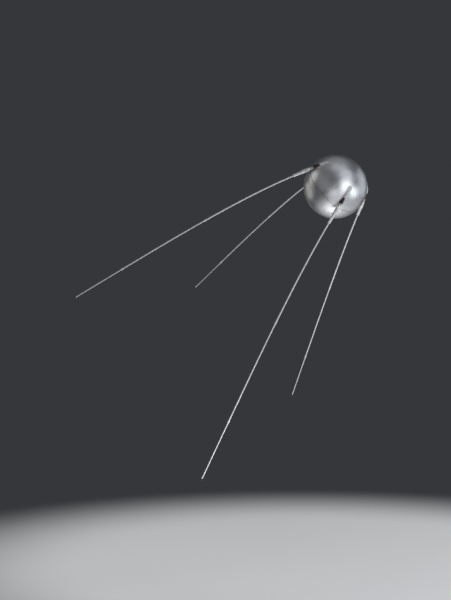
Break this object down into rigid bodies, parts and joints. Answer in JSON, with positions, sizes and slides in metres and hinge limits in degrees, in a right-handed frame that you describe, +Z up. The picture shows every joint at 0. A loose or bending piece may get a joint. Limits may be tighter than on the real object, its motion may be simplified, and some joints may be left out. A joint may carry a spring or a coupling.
{
  "type": "small spherical satellite with whip antennas",
  "caption": "Polished metal sphere in two bolted half shells, with long swept-back whip antennas that hinge on insulated sockets.",
  "frame": {"origin": "centre of the sphere, where the object is held in the air", "axes": "+Z up as it hangs; the nose axis lies in the XZ plane, 35.5 degrees above +X; the antennas sweep back and down"},
  "size_m": [2.956, 2.3154, 3.001],
  "materials": {
    "polished_screen": "satin",
    "polished_shell": "satin",
    "shell_alloy": "satin",
    "seal_rubber": "matte",
    "block_casing": "matte",
    "fitting_alloy": "satin",
    "fitting_steel": "satin",
    "contact_plastic": "matte",
    "pin_steel": "satin",
    "fork_steel": "satin",
    "insulator_plastic": "satin",
    "sleeve_alloy": "satin",
    "rod_alloy": "satin",
    "cap_rubber": "matte"
  },
  "bodies": {
    "sphere": {"front_shell": "shell_alloy", "front_heat_screen": "polished_screen", "rear_shell": "polished_shell", "seam_gasket": "seal_rubber", "battery_block": "block_casing", "filling_valve_flange": "fitting_alloy", "filling_valve_cap": "fitting_steel", "separation_contact_housing": "fitting_alloy", "separation_contact_button": "contact_plastic", "tail_connector_flange": "fitting_alloy", "tail_connector_cap": "fitting_steel", "hinge_pins": "pin_steel", "upper_right_fairing": "fitting_alloy", "upper_right_insulator": "insulator_plastic", "upper_right_hinge_fork": "fork_steel", "upper_left_fairing": "fitting_alloy", "upper_left_insulator": "insulator_plastic", "upper_left_hinge_fork": "fork_steel", "lower_right_fairing": "fitting_alloy", "lower_right_insulator": "insulator_plastic", "lower_right_hinge_fork": "fork_steel", "lower_left_fairing": "fitting_alloy", "lower_left_insulator": "insulator_plastic", "lower_left_hinge_fork": "fork_steel"},
    "upper_right_antenna": {"upper_right_sleeve": "sleeve_alloy", "upper_right_rod_lower": "rod_alloy", "upper_right_rod_middle": "rod_alloy", "upper_right_rod_tip": "rod_alloy", "upper_right_tip_cap": "cap_rubber"},
    "upper_left_antenna": {"upper_left_sleeve": "sleeve_alloy", "upper_left_rod_lower": "rod_alloy", "upper_left_rod_middle": "rod_alloy", "upper_left_rod_tip": "rod_alloy", "upper_left_tip_cap": "cap_rubber"},
    "lower_right_antenna": {"lower_right_sleeve": "sleeve_alloy", "lower_right_rod_lower": "rod_alloy", "lower_right_rod_middle": "rod_alloy", "lower_right_rod_tip": "rod_alloy", "lower_right_tip_cap": "cap_rubber"},
    "lower_left_antenna": {"lower_left_sleeve": "sleeve_alloy", "lower_left_rod_lower": "rod_alloy", "lower_left_rod_middle": "rod_alloy", "lower_left_rod_tip": "rod_alloy", "lower_left_tip_cap": "cap_rubber"}
  },
  "joints": [
    {"name": "upper_right_hinge", "type": "hinge", "parent": "sphere", "child": "upper_right_antenna", "pos_m": [-0.06331, -0.257, 0.15751], "axis": [-0.4887, 0.5402, 0.6851], "range_deg": [-12, 0], "stiffness_Nm_per_rad": 60, "springref_deg": 20.05},
    {"name": "upper_left_hinge", "type": "hinge", "parent": "sphere", "child": "upper_left_antenna", "pos_m": [-0.11674, 0.16499, 0.23241], "axis": [0.3137, 0.8415, -0.4398], "range_deg": [-12, 0], "stiffness_Nm_per_rad": 60, "springref_deg": 20.05},
    {"name": "lower_right_hinge", "type": "hinge", "parent": "sphere", "child": "lower_right_antenna", "pos_m": [0.18174, -0.16499, -0.18605], "axis": [-0.3137, -0.8415, 0.4398], "range_deg": [-12, 0], "stiffness_Nm_per_rad": 60, "springref_deg": 20.05},
    {"name": "lower_left_hinge", "type": "hinge", "parent": "sphere", "child": "lower_left_antenna", "pos_m": [0.12831, 0.257, -0.11114], "axis": [0.4887, -0.5402, -0.6851], "range_deg": [-12, 0], "stiffness_Nm_per_rad": 60, "springref_deg": 20.05}
  ]
}
